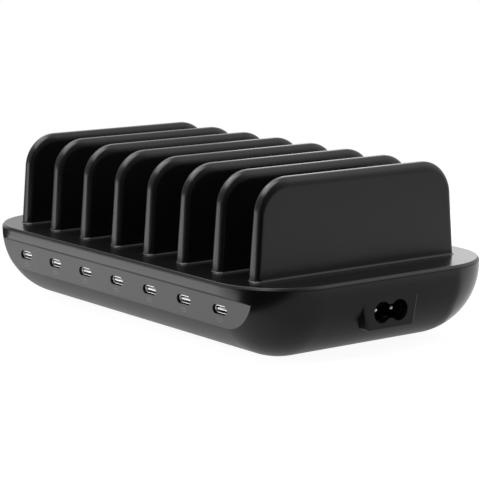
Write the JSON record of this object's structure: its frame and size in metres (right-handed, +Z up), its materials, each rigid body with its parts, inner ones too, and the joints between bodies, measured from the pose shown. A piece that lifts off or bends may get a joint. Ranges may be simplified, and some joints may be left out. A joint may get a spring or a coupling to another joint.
{
  "type": "multi port usb desktop charger",
  "caption": "Desktop USB charging stand: bowl shaped hull, a row of upright fins with device slots between them, USB-C ports in a front facet and a mains inlet at one end.",
  "frame": {"origin": "on the table, under the middle of the hull", "axes": "+X along the row of fins, towards the end with the mains inlet; the ports face -Y; +Z up"},
  "size_m": [0.2212, 0.1316, 0.0756],
  "materials": {
    "case_black": "polished black moulding",
    "foot_rubber": "matt",
    "inlet_plastic": "satin moulding",
    "port_steel": "nickel plated",
    "tongue_pale": "moulded, with gold contacts",
    "pin_nickel": "nickel plated brass",
    "board_green": "solder mask",
    "sheet_film": "film",
    "part_black": "moulded package",
    "part_brown": "moulded case",
    "part_yellow": "moulded case",
    "part_blue": "dipped",
    "ferrite": "sintered",
    "copper_wire": "enamelled copper wire",
    "winding_tape": "taped winding",
    "can_sleeve": "shrunk sleeve",
    "plate_aluminium": "cut sheet"
  },
  "bodies": {
    "root": {"board_link": "part_black", "bottom_shell": "case_black", "bridge_rectifier": "part_black", "bulk_capacitor": "can_sleeve", "choke_core": "ferrite", "choke_winding": "copper_wire", "converter_chips": "part_black", "converter_inductors": "ferrite", "feet": "foot_rubber", "fuse": "part_brown", "inlet_body": "inlet_plastic", "inlet_pin_1": "pin_nickel", "inlet_pin_2": "pin_nickel", "insulating_sheet": "sheet_film", "main_board": "board_green", "output_capacitors": "part_yellow", "output_heatsink": "plate_aluminium", "output_rectifier": "part_black", "port_board": "board_green", "primary_heatsink": "plate_aluminium", "switching_transistor": "part_black", "top_cover": "case_black", "transformer_core": "ferrite", "transformer_winding": "winding_tape", "usb_c_shell_1": "port_steel", "usb_c_shell_2": "port_steel", "usb_c_shell_3": "port_steel", "usb_c_shell_4": "port_steel", "usb_c_shell_5": "port_steel", "usb_c_shell_6": "port_steel", "usb_c_shell_7": "port_steel", "usb_c_tongue_1": "tongue_pale", "usb_c_tongue_2": "tongue_pale", "usb_c_tongue_3": "tongue_pale", "usb_c_tongue_4": "tongue_pale", "usb_c_tongue_5": "tongue_pale", "usb_c_tongue_6": "tongue_pale", "usb_c_tongue_7": "tongue_pale", "x_capacitor": "part_yellow", "y_capacitor": "part_blue"}
  },
  "joints": []
}
